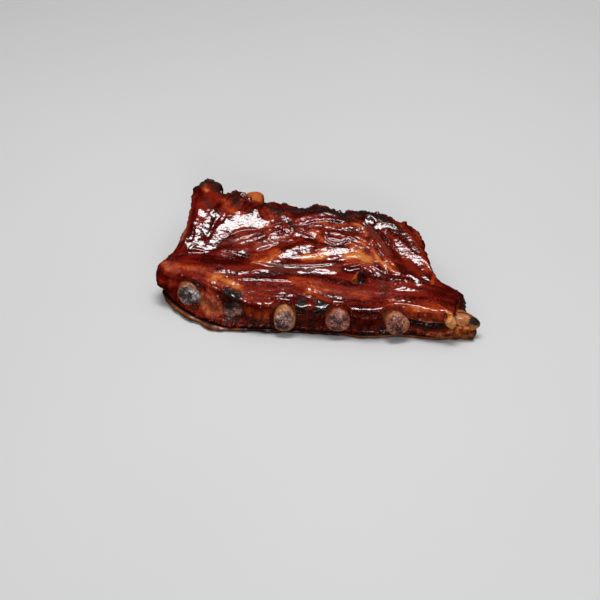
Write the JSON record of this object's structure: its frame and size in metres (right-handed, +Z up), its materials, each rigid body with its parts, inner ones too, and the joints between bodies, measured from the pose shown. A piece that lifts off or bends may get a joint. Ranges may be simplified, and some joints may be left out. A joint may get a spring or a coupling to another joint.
{
  "type": "barbecue ribs",
  "caption": "Part of a rack of barbecue pork ribs: an arched slab of folded, glazed meat round curved rib bones whose ends stand out of it, with a thin skin below.",
  "frame": {"origin": "middle of the footprint, on the surface that the ribs lie on", "axes": "+X to the right along the slab for someone who faces the side with the bone ends, +Y away from that side, +Z up"},
  "size_m": [0.1948, 0.1032, 0.0382],
  "materials": {
    "glazed_meat": "wet, sticky mahogany-red barbecue glaze over roasted pork, with orange patches and charred edges",
    "roasted_skin": "greasy orange-brown roasted skin",
    "roasted_bone": "tan roasted bone with charred, porous ends"
  },
  "bodies": {
    "root": {"meat": "glazed_meat", "underside_skin": "roasted_skin", "rib_1": "roasted_bone", "rib_2": "roasted_bone", "rib_3": "roasted_bone", "rib_4": "roasted_bone", "rib_5": "roasted_bone", "rib_6": "roasted_bone"}
  },
  "joints": []
}
